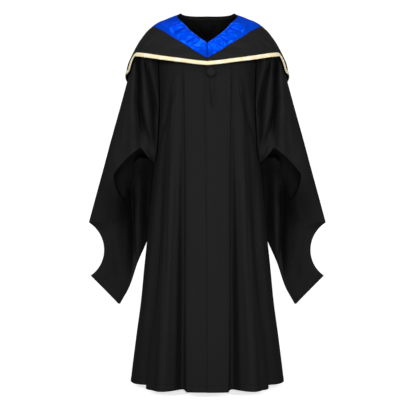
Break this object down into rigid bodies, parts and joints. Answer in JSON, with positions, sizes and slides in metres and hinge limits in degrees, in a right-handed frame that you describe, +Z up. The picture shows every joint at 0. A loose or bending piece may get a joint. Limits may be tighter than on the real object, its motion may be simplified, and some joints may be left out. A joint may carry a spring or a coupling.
{
  "type": "graduation gown and hood",
  "caption": "Master's graduation gown in black cloth, worn shape, with long closed sleeves, a covered button, and a hood with a blue satin facing and a cream ribbon",
  "frame": {"origin": "middle of the neck opening, level with the tops of the shoulders at the neck", "axes": "+Z up, the front faces -Y, the wearer's left is +X"},
  "size_m": [0.8206, 0.4138, 1.262],
  "materials": {
    "gown_cloth": "matte",
    "hood_cloth": "matte",
    "satin": "satin",
    "ribbon": "satin"
  },
  "bodies": {
    "root": {"yoke": "gown_cloth", "neckband": "gown_cloth", "back": "gown_cloth", "front_right": "gown_cloth", "front_band_right": "gown_cloth", "sleeve_right_front": "gown_cloth", "sleeve_right_back": "gown_cloth", "hood_facing_right": "satin", "hood_cape_right": "hood_cloth", "front_left": "gown_cloth", "front_band_left": "gown_cloth", "sleeve_left_front": "gown_cloth", "sleeve_left_back": "gown_cloth", "hood_facing_left": "satin", "hood_cape_left": "hood_cloth", "hood_trim": "ribbon", "hood_cowl": "hood_cloth", "hood_lining": "satin", "button": "gown_cloth", "button_loop": "gown_cloth"}
  },
  "joints": []
}
